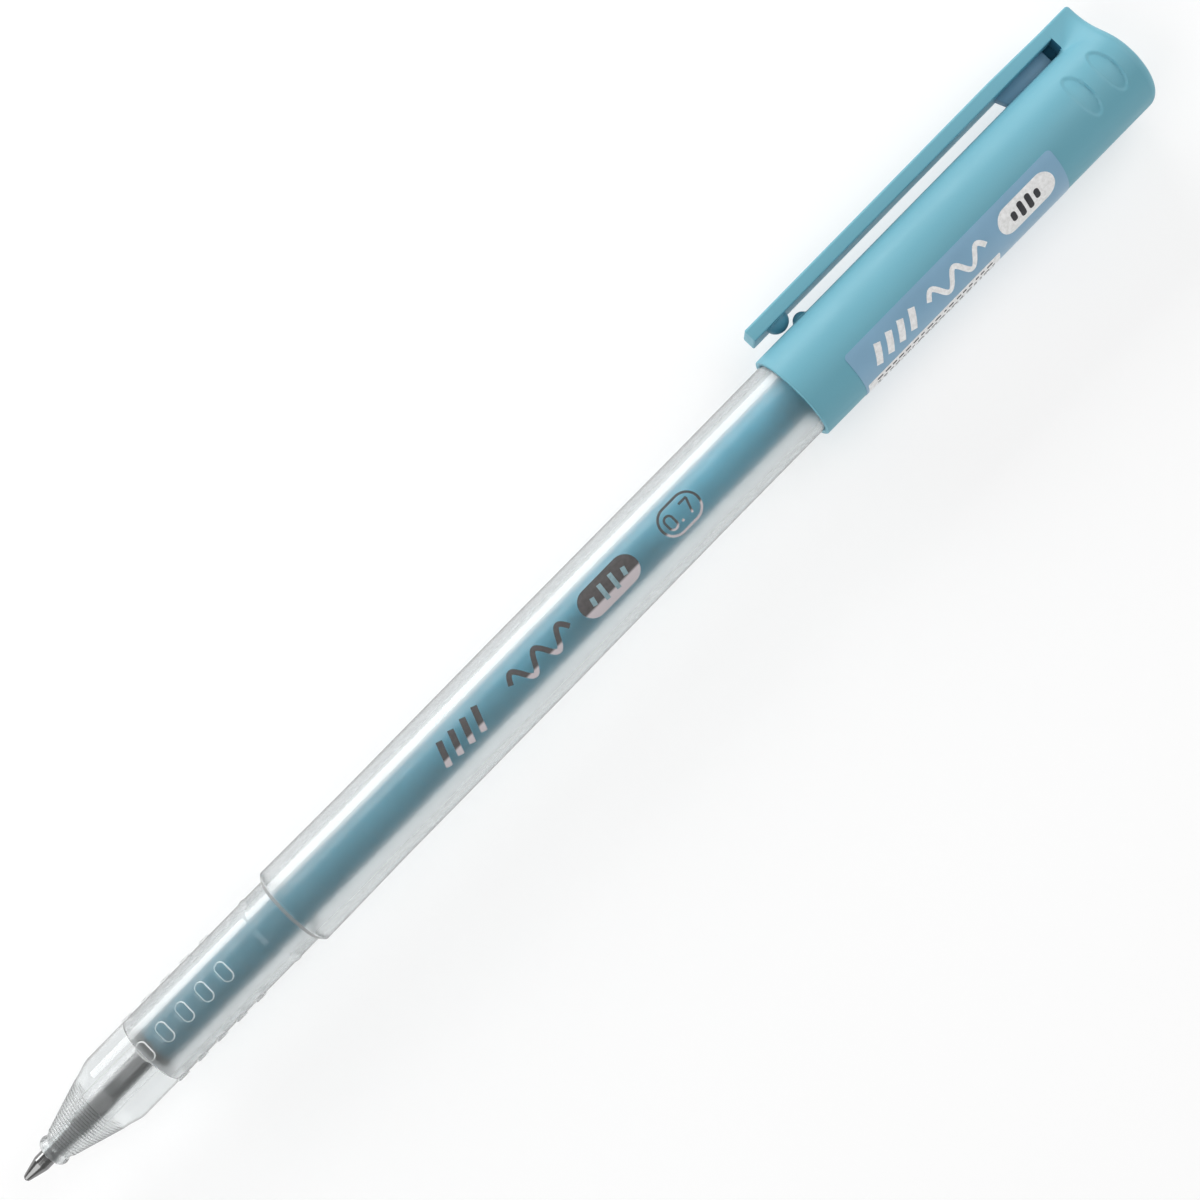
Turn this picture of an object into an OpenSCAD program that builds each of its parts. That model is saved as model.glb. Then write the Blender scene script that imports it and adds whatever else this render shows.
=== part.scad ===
// Capped gel pen, lying down with its cap posted on the tail.
// +X runs from the writing ball to the closed end of the cap, the clip is on the +Y side, +Z is up.
// Inside the modules x is the distance from the front of the ball and the pen's axis is y = z = 0.

/* [Barrel] */
// Where the barrel's tail ends, measured from the ball
tail_x = 137; // [130:1:142]
// Diameter of the grip
grip_d = 8.8; // [8.4:0.1:9]
// Diameter of the body just behind the step
step_d = 10.24; // [10:0.02:10.4]
// Diameter of the plain middle stretch
mid_d = 9.96; // [9.8:0.02:10]
// Diameter of the tail
tail_d = 9.74; // [9.6:0.02:9.76]
// Diameter of the bore behind the grip
bore_d = 7.8; // [7.4:0.1:8.2]
// Diameter of the bore inside the grip
grip_bore_d = 7.2; // [6.4:0.1:7.4]
// Where the step between grip and body starts
step_x = 40.8; // [38.5:0.1:44]
// Where the shoulder that stops the refill is
shoulder_x = 19.2; // [18.6:0.1:20]
// Outer diameter of the nozzle bead, which the cap seals on
nozzle_d = 3.8; // [3.6:0.05:3.8]
// Number of fine rings round the cone
ring_count = 18; // [10:1:22]
// Pads in each row of the grip
pad_count = 5; // [3:1:5]
// Rows of pads round the grip
pad_rows = 4; // [2:1:6]
// Height of a pad over the grip
pad_h = 0.17; // [0.1:0.01:0.18]

/* [Refill] */
// Diameter of the writing ball
ball_d = 0.7; // [0.5:0.1:0.8]
// Diameter of the metal point
point_d = 2; // [1.8:0.05:2]
// Outer diameter of the refill tube
tube_d = 4.9; // [4.4:0.1:5]
// Inner diameter of the refill tube
tube_bore_d = 3.9; // [3.4:0.1:4]
// Where the ink ends and the follower starts
ink_end_x = 120; // [60:1:124]
// Length of the follower
follower_l = 6.5; // [4:0.5:8]

/* [Cap] */
// Outer diameter of the cap
cap_d = 11; // [10.8:0.1:11.6]
// Length of the cap
cap_l = 50.95; // [48:0.05:54]
// How far the tail sits inside the posted cap
post_l = 18.4; // [14:0.1:20]
// Diameter of the seal tube's bore inside the cap
seal_bore_d = 3.84; // [3.84:0.02:4]
// Depth of the oval finger recesses
recess_h = 0.22; // [0.1:0.01:0.3]

/* [Clip] */
// Width of the clip
clip_w = 4.2; // [3:0.1:5]
// Thickness of the clip
clip_t = 1.64; // [1.2:0.02:2]
// Gap between the clip and the cap
clip_gap = 1.48; // [1.44:0.02:1.8]
// Radius of the bump under the clip's free end
bump_r = 1.46; // [1.2:0.02:1.46]
// Radius of the nub on the cap
nub_r = 1.03; // [0.8:0.01:1.04]

/* [Label] */
// Length of the label along the cap
label_l = 31; // [20:0.5:32]
// How far round the cap the label reaches
label_angle = 115; // [60:1:125]
// Thickness of the label
label_t = 0.06; // [0.04:0.01:0.1]

/* [Hidden] */
$fn = 96;
// Cuts run this far past the face they open
over = 1;
// Gap of a push fit, of a guided piece and between faces that only rest on each other
push_gap = 0.02;
guide_gap = 0.05;
rest_gap = 0.01;

// Barrel
grip_r = grip_d / 2;
step_l = 0.6;
land_l = 4;
mid_x = [54, 78];
tail_x0 = 106;
tail_edge = 0.3;
nozzle_x = 3.65;
nozzle_bead_r = 0.75;
nozzle_r = nozzle_d / 2;
cone_x = [5, 13.9];
cone_r = [1.7, grip_r];
ring_x = [5.64, 12.5];
ring_h = 0.08;
ring_pitch = (ring_x[1] - ring_x[0]) / ring_count;
stem_r = 1.2;
stem_bore_r = 1.3;
stem_x = 8.4;
stem_bore_x = stem_x - 0.15;
point_bore_r = point_d / 2 + guide_gap;
stop_bead_x = step_x - 2.9;
stop_bead_l = 1;
stop_bead_h = 0.11;
bore_step_x = step_x + 1.6;
pad_x = 20.2;
pad_pitch = 2.98;
pad_size = [1.3, 2.4];

// Refill
holder_x = shoulder_x + push_gap;
flange_l = 1.2;
tube_x = [holder_x + flange_l, tail_x - 2.4];
holder_end_x = tube_x[0] + 4;
feed_r = 0.5;
ball_r = ball_d / 2;
seat_r = ball_r + 0.015;
lip_x = ball_r - 0.15;
shank_r = 0.8;
shank_end_x = stem_x + 4;
channel_r = 0.2;

// End plug
plug_l = 8;
plug_r = bore_d / 2 - push_gap;
plug_head = [0.9, 4.3];
vent_r = 0.5;

// Cap
cap_r = cap_d / 2;
mouth_x = tail_x + push_gap - post_l;
end_x = mouth_x + cap_l;
cap_bore_r = tail_d / 2 + guide_gap;
cap_inner_r = 4.6;
end_wall = 1.3;
end_round = 0.9;
mouth_round = 0.15;
seal_l = 13.6;
seal_wall = 0.68;
recess_x = [end_x - 7.35, end_x - 3.55];
recess_size = [2.2, 6.2];

// Clip
clip_y = [cap_r + clip_gap, cap_r + clip_gap + clip_t];
clip_x0 = mouth_x + 1.4;
flex_x = mouth_x + 39;
clip_bevel = 0.25;
clip_corner = 0.3;
root_x = end_x - 3.95;
root_y = clip_y[1] - 0.2;
web_t = 1.2;
web_end_x = end_x - 5.1;
pocket_web_t = 0.5;
web_lean = 0.5;
bump_x = mouth_x + 4.9;
bump_y = clip_y[0] + 0.2;
nub_x = mouth_x + 6.9;
nub_y = cap_r - 0.38;

// Label
label_x = mouth_x + 5.95;
label_start = 14.5;

// Puts the middle of the pen's footprint at x = y = 0 and its lowest line at z = 0
module placed() {
    side_r = cap_r + label_t;
    translate([-end_x / 2, (side_r - clip_y[1]) / 2, cap_r]) children();
}

// A solid turned about the pen's axis from an outline of [x, radius] points
module turned(outline) {
    rotate([0, 90, 0]) rotate_extrude() polygon([for (p = outline) [p[1], p[0]]]);
}

// A plain coaxial cylinder between two places on the axis
module rod(x0, x1, r) {
    translate([x0, 0, 0]) rotate([0, 90, 0]) cylinder(r = r, h = x1 - x0);
}

// Points of an arc in an [x, radius] outline, from angle a0 to a1
function arc(x, y, r, a0, a1, n = 6) =
    [for (i = [0 : n]) let (a = a0 + (a1 - a0) * i / n) [x + r * cos(a), y + r * sin(a)]];

function cone_at(x) =
    cone_r[0] + (cone_r[1] - cone_r[0]) * (x - cone_x[0]) / (cone_x[1] - cone_x[0]);

// One fine ring on the cone: up, along and back down
function ring(i) = let (x = ring_x[0] + i * ring_pitch, w = ring_pitch / 2) [
    [x, cone_at(x)],
    [x + 0.25 * w, cone_at(x) + ring_h],
    [x + w, cone_at(x + w) + ring_h],
    [x + 1.25 * w, cone_at(x + 1.25 * w)]
];

// An obround that stands along +Z, size = [along x, along y]
module obround(size, h) {
    r = size[0] / 2;
    reach = size[1] / 2 - r;
    for (side = [-1, 1]) translate([0, side * reach, 0]) cylinder(r = r, h = h, $fn = 48);
    translate([-r, -reach, 0]) cube([size[0], 2 * reach, h]);
}

module barrel_outside() {
    bead = arc(nozzle_x + nozzle_bead_r, nozzle_r - nozzle_bead_r, nozzle_bead_r, 180, 45);
    rings = [for (i = [0 : ring_count - 1]) each ring(i)];
    half = stop_bead_l / 2;
    stop_bead = [for (i = [0 : 6])
        [stop_bead_x - half + i * stop_bead_l / 6, grip_r + stop_bead_h * sin(180 * i / 6)]];
    turned(concat(
        [[nozzle_x, 0]],
        bead,
        [[cone_x[0], cone_r[0]]],
        rings,
        [[cone_x[1], grip_r]],
        stop_bead,
        [
            [step_x, grip_r],
            [step_x + step_l, step_d / 2],
            [step_x + step_l + land_l, step_d / 2],
            [mid_x[0], mid_d / 2],
            [mid_x[1], mid_d / 2],
            [tail_x0, tail_d / 2],
            [tail_x - tail_edge, tail_d / 2],
            [tail_x, tail_d / 2 - tail_edge],
            [tail_x, 0]
        ]
    ));
}

module barrel_bore() {
    lead = (bore_d - grip_bore_d) / 2;
    turned([
        [nozzle_x - over, 0],
        [nozzle_x - over, point_bore_r],
        [stem_bore_x, point_bore_r],
        [stem_bore_x, stem_bore_r],
        [shoulder_x, stem_bore_r],
        [shoulder_x, grip_bore_d / 2],
        [bore_step_x, grip_bore_d / 2],
        [bore_step_x + lead, bore_d / 2],
        [tail_x + over, bore_d / 2],
        [tail_x + over, 0]
    ]);
}

// A grip pad: an obround that follows the grip's round face
module grip_pad(x) {
    intersection() {
        translate([x, 0, 0]) obround(pad_size, grip_r + over);
        difference() {
            rod(x - pad_size[0], x + pad_size[0], grip_r + pad_h);
            rod(x - pad_size[0] - over, x + pad_size[0] + over, grip_r - pad_h);
        }
    }
}

module barrel() {
    color("aliceblue", 0.5) placed() {
        difference() {
            barrel_outside();
            barrel_bore();
        }
        for (row = [0 : pad_rows - 1])
            rotate([row * 360 / pad_rows, 0, 0])
                for (i = [0 : pad_count - 1]) grip_pad(pad_x + i * pad_pitch);
    }
}

module end_plug() {
    inner_r = tube_d / 2 + guide_gap;
    head_x = tail_x + rest_gap;
    color("whitesmoke") placed() turned([
        [tail_x - plug_l, inner_r],
        [tail_x - plug_l, plug_r - 0.3],
        [tail_x - plug_l + 0.3, plug_r],
        [head_x, plug_r],
        [head_x, plug_head[1]],
        [head_x + plug_head[0] - 0.3, plug_head[1]],
        [head_x + plug_head[0], plug_head[1] - 0.3],
        [head_x + plug_head[0], vent_r],
        [tube_x[1] + over, vent_r],
        [tube_x[1] + over, inner_r]
    ]);
}

module refill_tube() {
    color("azure", 0.5) placed() difference() {
        rod(tube_x[0], tube_x[1], tube_d / 2);
        rod(tube_x[0] - over, tube_x[1] + over, tube_bore_d / 2);
    }
}

module tip_holder() {
    inner_r = tube_bore_d / 2 - rest_gap;
    color("dimgray") placed() turned([
        [stem_x, shank_r],
        [stem_x, stem_r],
        [holder_x, stem_r],
        [holder_x, tube_d / 2],
        [tube_x[0], tube_d / 2],
        [tube_x[0], inner_r],
        [holder_end_x - 0.4, inner_r],
        [holder_end_x, inner_r - 0.4],
        [holder_end_x, feed_r],
        [shank_end_x, feed_r],
        [shank_end_x, shank_r]
    ]);
}

module tip_point() {
    r = point_d / 2;
    back = acos(sqrt(seat_r * seat_r - channel_r * channel_r) / seat_r);
    front = 180 - acos((ball_r - lip_x) / seat_r);
    color("silver") placed() turned(concat(
        arc(ball_r, 0, seat_r, back, front),
        [
            [lip_x, 0.38],
            [0.45, 0.46],
            [2.2, 0.93],
            [2.5, r],
            [stem_x, r],
            [stem_x, shank_r],
            [shank_end_x, shank_r],
            [shank_end_x, feed_r],
            [2, feed_r],
            [1.6, channel_r]
        ]
    ));
}

module tip_ball() {
    color("gray") placed() translate([ball_r, 0, 0]) sphere(r = ball_r);
}

module ink_column() {
    color("cadetblue") placed()
        rod(holder_end_x + rest_gap, ink_end_x, tube_bore_d / 2 - rest_gap);
}

module ink_follower() {
    color("ivory") placed()
        rod(ink_end_x + rest_gap, ink_end_x + follower_l, tube_bore_d / 2 - push_gap);
}

// The oval finger recess at x, cut from the side that faces +Z
module finger_recess(x) {
    difference() {
        translate([x, 0, 0]) obround(recess_size, cap_r + over);
        rod(x - recess_size[0], x + recess_size[0], cap_r - recess_h);
    }
}

// The end of the clip that stays with the cap: a bar, the web under it and the root
module clip_root() {
    deep = cap_r - end_wall / 2;
    translate([flex_x, clip_y[0], -clip_w / 2])
        cube([end_x - flex_x, root_y - clip_y[0], clip_w]);
    translate([root_x, deep, -clip_w / 2]) cube([end_x - root_x, root_y - deep, clip_w]);
    translate([0, 0, -web_t / 2]) linear_extrude(web_t) polygon([
        [flex_x, deep],
        [flex_x, cap_r],
        [flex_x - web_lean, clip_y[0]],
        [flex_x, clip_y[0] + rest_gap],
        [web_end_x, clip_y[0] + rest_gap],
        [web_end_x, deep]
    ]);
    translate([web_end_x - over, deep, -pocket_web_t / 2])
        cube([root_x - web_end_x + 2 * over, clip_y[0] - deep + rest_gap, pocket_web_t]);
}

module cap_shell() {
    floor_x = end_x - end_wall;
    color("cadetblue") placed() {
        difference() {
            union() {
                turned(concat(
                    [[mouth_x, 0]],
                    arc(mouth_x + mouth_round, cap_r - mouth_round, mouth_round, 180, 90, 3),
                    arc(end_x - end_round, cap_r - end_round, end_round, 90, 0),
                    [[end_x, 0]]
                ));
                clip_root();
                translate([nub_x, nub_y, 0]) sphere(r = nub_r);
            }
            rod(mouth_x - over, tail_x + push_gap, cap_bore_r);
            rod(mouth_x, floor_x, cap_inner_r);
            for (x = recess_x, turn = [0, 180]) rotate([turn, 0, 0]) finger_recess(x);
        }
        difference() {
            rod(floor_x - seal_l, floor_x + end_wall / 2, seal_bore_d / 2 + seal_wall);
            rod(floor_x - seal_l - over, floor_x, seal_bore_d / 2);
        }
    }
}

module pocket_clip() {
    half = clip_w / 2;
    y0 = clip_y[0];
    y1 = clip_y[1];
    color("cadetblue") placed() {
        intersection() {
            // the clip's cross-section, carried along x
            translate([clip_x0, 0, 0]) rotate([90, 0, 90]) linear_extrude(flex_x - clip_x0) polygon([
                [y0, -half],
                [y1 - clip_bevel, -half],
                [y1, -half + clip_bevel],
                [y1, half - clip_bevel],
                [y1 - clip_bevel, half],
                [y0, half]
            ]);
            // its side view, with the free end's corners rounded
            translate([0, 0, -clip_w]) linear_extrude(2 * clip_w) polygon(concat(
                arc(clip_x0 + clip_corner, y1 - clip_corner, clip_corner, 90, 180),
                arc(clip_x0 + clip_corner, y0 + clip_corner, clip_corner, 180, 270),
                [[flex_x, y0], [flex_x, y1]]
            ));
        }
        intersection() {
            translate([bump_x, bump_y, 0]) sphere(r = bump_r);
            translate([bump_x - 2 * bump_r, y0 - 2 * bump_r, -2 * bump_r])
                cube([4 * bump_r, 2 * bump_r + clip_t / 2, 4 * bump_r]);
        }
    }
}

module cap_label() {
    color("lightsteelblue") placed()
        translate([label_x, 0, 0])
            rotate([label_start, 0, 0])
                rotate([0, 90, 0])
                    rotate([0, 0, 180])
                        rotate_extrude(angle = label_angle)
                            translate([cap_r, 0]) square([label_t, label_l]);
}

barrel();
end_plug();
refill_tube();
tip_holder();
tip_point();
tip_ball();
ink_column();
ink_follower();
cap_shell();
pocket_clip();
cap_label();
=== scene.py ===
"""A capped gel pen: frosted barrel, refill, cap with its pocket clip, film label and a plain studio."""

import math

import bmesh
import bpy
import numpy as np
from bpy.props import FloatProperty, FloatVectorProperty, IntProperty, PointerProperty
from mathutils import Matrix, Vector


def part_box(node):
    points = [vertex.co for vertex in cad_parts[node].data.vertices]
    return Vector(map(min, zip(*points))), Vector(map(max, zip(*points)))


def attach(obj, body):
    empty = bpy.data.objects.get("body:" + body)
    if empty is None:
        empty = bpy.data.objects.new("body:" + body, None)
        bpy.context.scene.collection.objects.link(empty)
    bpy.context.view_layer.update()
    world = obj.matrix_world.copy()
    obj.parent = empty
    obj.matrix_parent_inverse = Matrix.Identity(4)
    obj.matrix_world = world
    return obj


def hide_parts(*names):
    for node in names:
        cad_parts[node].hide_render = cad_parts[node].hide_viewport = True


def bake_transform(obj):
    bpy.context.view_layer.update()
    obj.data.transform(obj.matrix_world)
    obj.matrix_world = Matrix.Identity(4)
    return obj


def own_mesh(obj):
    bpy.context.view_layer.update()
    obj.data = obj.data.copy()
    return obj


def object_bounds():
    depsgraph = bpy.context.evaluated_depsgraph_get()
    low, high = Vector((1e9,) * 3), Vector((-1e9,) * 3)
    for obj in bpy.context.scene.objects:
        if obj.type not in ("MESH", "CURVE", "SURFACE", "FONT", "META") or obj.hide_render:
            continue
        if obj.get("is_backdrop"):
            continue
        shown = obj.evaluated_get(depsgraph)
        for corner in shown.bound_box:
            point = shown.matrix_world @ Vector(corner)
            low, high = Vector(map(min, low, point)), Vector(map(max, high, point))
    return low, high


bl_info = {
    "name": "Capped Gel Pen",
    "version": (1, 0, 0),
    "blender": (4, 5, 0),
    "location": "View3D > Sidebar > Gel Pen",
    "description": "Builds the visible pieces of a gel pen round its CAD frame",
    "category": "Add Mesh",
}

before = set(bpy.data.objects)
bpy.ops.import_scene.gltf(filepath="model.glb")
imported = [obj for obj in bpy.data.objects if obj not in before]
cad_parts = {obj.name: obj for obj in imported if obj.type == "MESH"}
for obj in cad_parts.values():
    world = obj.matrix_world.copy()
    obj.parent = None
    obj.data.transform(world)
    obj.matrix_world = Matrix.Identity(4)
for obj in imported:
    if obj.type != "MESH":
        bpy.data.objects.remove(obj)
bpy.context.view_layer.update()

# ---------------------------------------------------------------- the pen's own measures, in millimetres
# x runs from the front of the ball towards the cap, y towards the clip and z up, from the pen's axis.

MM = 0.001
tube_low, tube_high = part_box("refill_tube")
PEN_START = Vector((
    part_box("tip_ball")[0].x,
    (tube_low.y + tube_high.y) / 2,
    (tube_low.z + tube_high.z) / 2,
))


def node_box(node):
    """A CAD node's lowest and highest corners, in the pen's millimetres."""
    low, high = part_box(node)
    return (low - PEN_START) / MM, (high - PEN_START) / MM


def node_rod(node):
    """Where a round node starts and ends along the pen, and its largest radius."""
    low, high = node_box(node)
    return low.x, high.x, (high.z - low.z) / 2


NOZZLE_X, TAIL_X, STEP_R = node_rod("barrel")
TUBE_X0, TUBE_X1, TUBE_R = node_rod("refill_tube")
STEM_X, HOLDER_END_X, FLANGE_R = node_rod("tip_holder")
POINT_X, SHANK_END_X, POINT_R = node_rod("tip_point")
INK_X0, INK_X1, INK_R = node_rod("ink_column")
GREASE_X0, GREASE_X1, GREASE_R = node_rod("ink_follower")
PLUG_X0, PLUG_X1, PLUG_R = node_rod("end_plug")
LABEL_X0, LABEL_X1, _ = node_rod("cap_label")
MOUTH_X = node_box("cap_shell")[0].x
END_X = node_box("cap_shell")[1].x
CAP_R = node_box("cap_shell")[1].z
ROOT_Y = node_box("cap_shell")[1].y
CLIP_LOW, CLIP_HIGH = node_box("pocket_clip")
FLEX_X = CLIP_HIGH.x
CLIP_W = CLIP_HIGH.z - CLIP_LOW.z
CLIP_GAP = 1.48
CLIP_UNDER_Y = CAP_R + CLIP_GAP

# Angles are in degrees about the pen's axis: 0 is up, 90 is the clip's side.
CLIP_ANGLE = 90.0

# Thickness of a layer of printing ink.
INK_T = 0.012

# ---------------------------------------------------------------- settings


class BarrelSettings(bpy.types.PropertyGroup):
    """The clear moulded barrel."""

    tint: FloatVectorProperty(
        name="Tint", description="Colour of the clear plastic", subtype="COLOR",
        size=3, min=0, max=1, default=(0.88, 0.905, 0.91))
    gloss: FloatProperty(
        name="Outer roughness", description="Roughness of the barrel's outside", subtype="FACTOR",
        min=0, max=1, default=0.1)
    frost: FloatProperty(
        name="Bore roughness", description="Roughness of the frosted bore", subtype="FACTOR",
        min=0, max=1, default=0.4)
    clearness: FloatProperty(
        name="Clearness", description="Share of light that passes the plastic unscattered",
        subtype="FACTOR", min=0, max=1, default=0.985)
    nose_clearness: FloatProperty(
        name="Nose clearness", description="The same for the thick nose", subtype="FACTOR",
        min=0, max=1, default=0.985)
    edge_shade: FloatProperty(
        name="Edge shade", description="How much of its tint the plastic keeps at grazing angles",
        subtype="FACTOR", min=0, max=1, default=0.12)
    ring_count: IntProperty(
        name="Rings", description="Fine rings round the cone", min=1, max=30, default=18)
    ring_height: FloatProperty(
        name="Ring height", description="How far a ring stands off the cone, in mm",
        min=0, max=0.2, default=0.08)
    pad_count: IntProperty(
        name="Pads in a row", description="Grip pads in each row", min=1, max=5, default=5)
    pad_height: FloatProperty(
        name="Pad height", description="How far a pad stands off the grip, in mm",
        min=0, max=0.2, default=0.16)


class PrintSettings(bpy.types.PropertyGroup):
    """The printing on the barrel."""

    colour: FloatVectorProperty(
        name="Colour", description="Colour of the printing", subtype="COLOR",
        size=3, min=0, max=1, default=(0.075, 0.07, 0.07))
    pale: FloatVectorProperty(
        name="Pale marks", description="Colour of the marks inside the pill", subtype="COLOR",
        size=3, min=0, max=1, default=(0.2, 0.3, 0.33))
    # painted reflection: the pale colour of the lower part of every printed mark
    painted_reflection: FloatVectorProperty(
        name="Foot", description="Colour of the lower part of every printed mark", subtype="COLOR",
        size=3, min=0, max=1, default=(0.58, 0.53, 0.55))
    height: FloatProperty(
        name="Height", description="Height of the printed marks round the barrel, in mm",
        min=1, max=5, default=3.4)


class RefillSettings(bpy.types.PropertyGroup):
    """The refill: tube, ink, holder, point and ball."""

    ink: FloatVectorProperty(
        name="Ink", description="Colour of the ink", subtype="COLOR",
        size=3, min=0, max=1, default=(0.07, 0.285, 0.375))
    holder: FloatVectorProperty(
        name="Holder", description="Colour of the tip holder", subtype="COLOR",
        size=3, min=0, max=1, default=(0.016, 0.017, 0.017))
    metal: FloatVectorProperty(
        name="Metal", description="Colour of the writing point", subtype="COLOR",
        size=3, min=0, max=1, default=(0.24, 0.24, 0.24))


class CapSettings(bpy.types.PropertyGroup):
    """The cap and its clip."""

    colour: FloatVectorProperty(
        name="Colour", description="Colour of the cap and clip", subtype="COLOR",
        size=3, min=0, max=1, default=(0.155, 0.4, 0.49))
    end_round: FloatProperty(
        name="End rounding", description="Radius of the closed end's edge, in mm",
        min=0.2, max=2.0, default=1.15)
    recess_depth: FloatProperty(
        name="Recess depth", description="Depth of the finger recesses, in mm",
        min=0, max=0.4, default=0.31)
    root_fillet: FloatProperty(
        name="Root fillet", description="How widely the clip's root blends into the cap, in mm",
        min=0.2, max=4, default=2.8)


class LabelSettings(bpy.types.PropertyGroup):
    """The film label on the cap."""

    film: FloatVectorProperty(
        name="Film", description="Colour of the label film", subtype="COLOR",
        size=3, min=0, max=1, default=(0.24, 0.425, 0.585))
    ink: FloatVectorProperty(
        name="White ink", description="Colour of the label's pale printing", subtype="COLOR",
        size=3, min=0, max=1, default=(0.8, 0.8, 0.79))


class StageSettings(bpy.types.PropertyGroup):
    """Floor, lights and camera."""

    floor: FloatVectorProperty(
        name="Floor", description="Colour of the floor", subtype="COLOR",
        size=3, min=0, max=1, default=(0.5, 0.5, 0.5))
    sky: FloatProperty(
        name="Room light", description="Strength of the even light from all round",
        min=0, max=5, default=0.3)
    horizon: FloatProperty(
        name="Horizon light", description="Strength of the room's light low down",
        min=0, max=5, default=0.7)
    key: FloatProperty(
        name="Key light", description="Power of the softbox on the clip's side, in watts",
        min=0, max=50, default=2.1)
    ends: FloatProperty(
        name="End lights", description="Power of the softbox beyond each end of the pen, in watts",
        min=0, max=50, default=1.6)
    glow: FloatProperty(
        name="Floor glow", description="Light given off by the floor, like a light table",
        min=0, max=2, default=0.52)
    lens: FloatProperty(
        name="Lens", description="Focal length of the camera, in mm", subtype="DISTANCE_CAMERA",
        min=20, max=200, default=61.8)
    distance: FloatProperty(
        name="Distance", description="Distance from the camera to the pen's axis, in mm",
        min=100, max=2000, default=223.3)


SETTINGS = {
    "pen_barrel": BarrelSettings,
    "pen_print": PrintSettings,
    "pen_refill": RefillSettings,
    "pen_cap": CapSettings,
    "pen_label": LabelSettings,
    "pen_stage": StageSettings,
}

# ---------------------------------------------------------------- outlines and meshes


def rounded(outline, steps=4):
    """An outline of (x, radius) or (x, radius, fillet) corners, with the fillets drawn as arcs."""
    points = []
    for i, corner in enumerate(outline):
        here = Vector(corner[:2])
        fillet = corner[2] if len(corner) > 2 else 0
        if not fillet or i in (0, len(outline) - 1):
            points.append(tuple(here))
            continue
        back = Vector(outline[i - 1][:2]) - here
        on = Vector(outline[i + 1][:2]) - here
        half = back.angle(on) / 2
        reach = min(fillet / math.tan(half), back.length * 0.49, on.length * 0.49)
        start = here + back.normalized() * reach
        end = here + on.normalized() * reach
        for k in range(steps + 1):
            # a rational quadratic curve with this weight is the exact arc
            t, weight = k / steps, math.sin(half)
            shares = ((1 - t) ** 2, 2 * t * (1 - t) * weight, t * t)
            total = start * shares[0] + here * shares[1] + end * shares[2]
            points.append(tuple(total / sum(shares)))
    return points


def circle_angles(count):
    """Evenly spaced angles round the pen."""
    return np.arange(count) * 360 / count


def dense_angles(coarse, fine, zones):
    """Angles round the pen with a coarse step, and a fine one within half a width of each zone's centre."""
    angles, a = [], 0.0
    while a < 360 - fine / 2:
        angles.append(a)
        near = any(abs((a + coarse / 2 - centre + 180) % 360 - 180) < half for centre, half in zones)
        a += fine if near else coarse
    return np.array(angles)


def ring(x, radius, angles):
    """One ring of points about the pen's axis."""
    a = np.radians(angles)
    radius = np.broadcast_to(radius, a.shape)
    return np.stack([np.broadcast_to(x, a.shape), radius * np.sin(a), radius * np.cos(a)], 1)


def tube_faces(rows, columns, closed):
    """Quads between rows of points, with each row a closed ring."""
    faces = []
    for i in range(rows if closed else rows - 1):
        a, b = i * columns, (i + 1) % rows * columns
        faces += [(a + k, a + (k + 1) % columns, b + (k + 1) % columns, b + k) for k in range(columns)]
    return faces


def swept(rings, closed=False, start=None, end=None):
    """A skin over rings of equal size. closed joins the last to the first; start and end are poles."""
    columns = len(rings[0])
    points = [tuple(p) for r in rings for p in r]
    faces = tube_faces(len(rings), columns, closed)
    for pole, first in ((start, 0), (end, (len(rings) - 1) * columns)):
        if pole is not None:
            points.append(tuple(pole))
            faces += [(first + k, first + (k + 1) % columns, len(points) - 1) for k in range(columns)]
    return points, faces


def turned(outline, count=128, closed=True):
    """A solid turned about the pen's axis from a closed outline of (x, radius)."""
    angles = circle_angles(count)
    return swept([ring(x, r, angles) for x, r in outline], closed)


def turned_solid(outline, count=96):
    """A solid turned from an open outline that starts and ends on the axis."""
    angles = circle_angles(count)
    rings = [ring(x, r, angles) for x, r in outline[1:-1]]
    return swept(rings, start=(outline[0][0], 0, 0), end=(outline[-1][0], 0, 0))


def joined(*parts):
    """Several (points, faces) shells as one."""
    points, faces = [], []
    for shell_points, shell_faces in parts:
        base = len(points)
        points += [tuple(p) for p in shell_points]
        faces += [tuple(base + i for i in face) for face in shell_faces]
    return points, faces


def piece(name, shell, material, body, stands_for=(), crease=38.0):
    """A mesh object from a shell in the pen's millimetres, riding on a CAD body."""
    points, faces = shell
    mesh = bpy.data.meshes.new(name)
    mesh.from_pydata([PEN_START + Vector(p) * MM for p in points], [], faces)
    work = bmesh.new()
    work.from_mesh(mesh)
    bmesh.ops.remove_doubles(work, verts=work.verts, dist=1e-7)
    bmesh.ops.recalc_face_normals(work, faces=work.faces)
    work.to_mesh(mesh)
    work.free()
    mesh.shade_smooth()
    mesh.set_sharp_from_angle(angle=math.radians(crease))
    mesh.materials.append(material)
    thing = bpy.data.objects.new(name, mesh)
    bpy.context.scene.collection.objects.link(thing)
    if stands_for:
        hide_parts(*stands_for)
    if body:
        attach(thing, body)
    return thing


def smoothstep(low, high, value):
    t = np.clip((value - low) / (high - low), 0, 1)
    return t * t * (3 - 2 * t)


# ---------------------------------------------------------------- flat shapes wrapped on the pen


def on_pen(x, arc, radius, centre_angle, base_radius):
    """The point at x and at arc millimetres round the pen from centre_angle, towards the clip."""
    a = math.radians(centre_angle) + arc / base_radius
    return (x, radius * math.sin(a), radius * math.cos(a))


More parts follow.
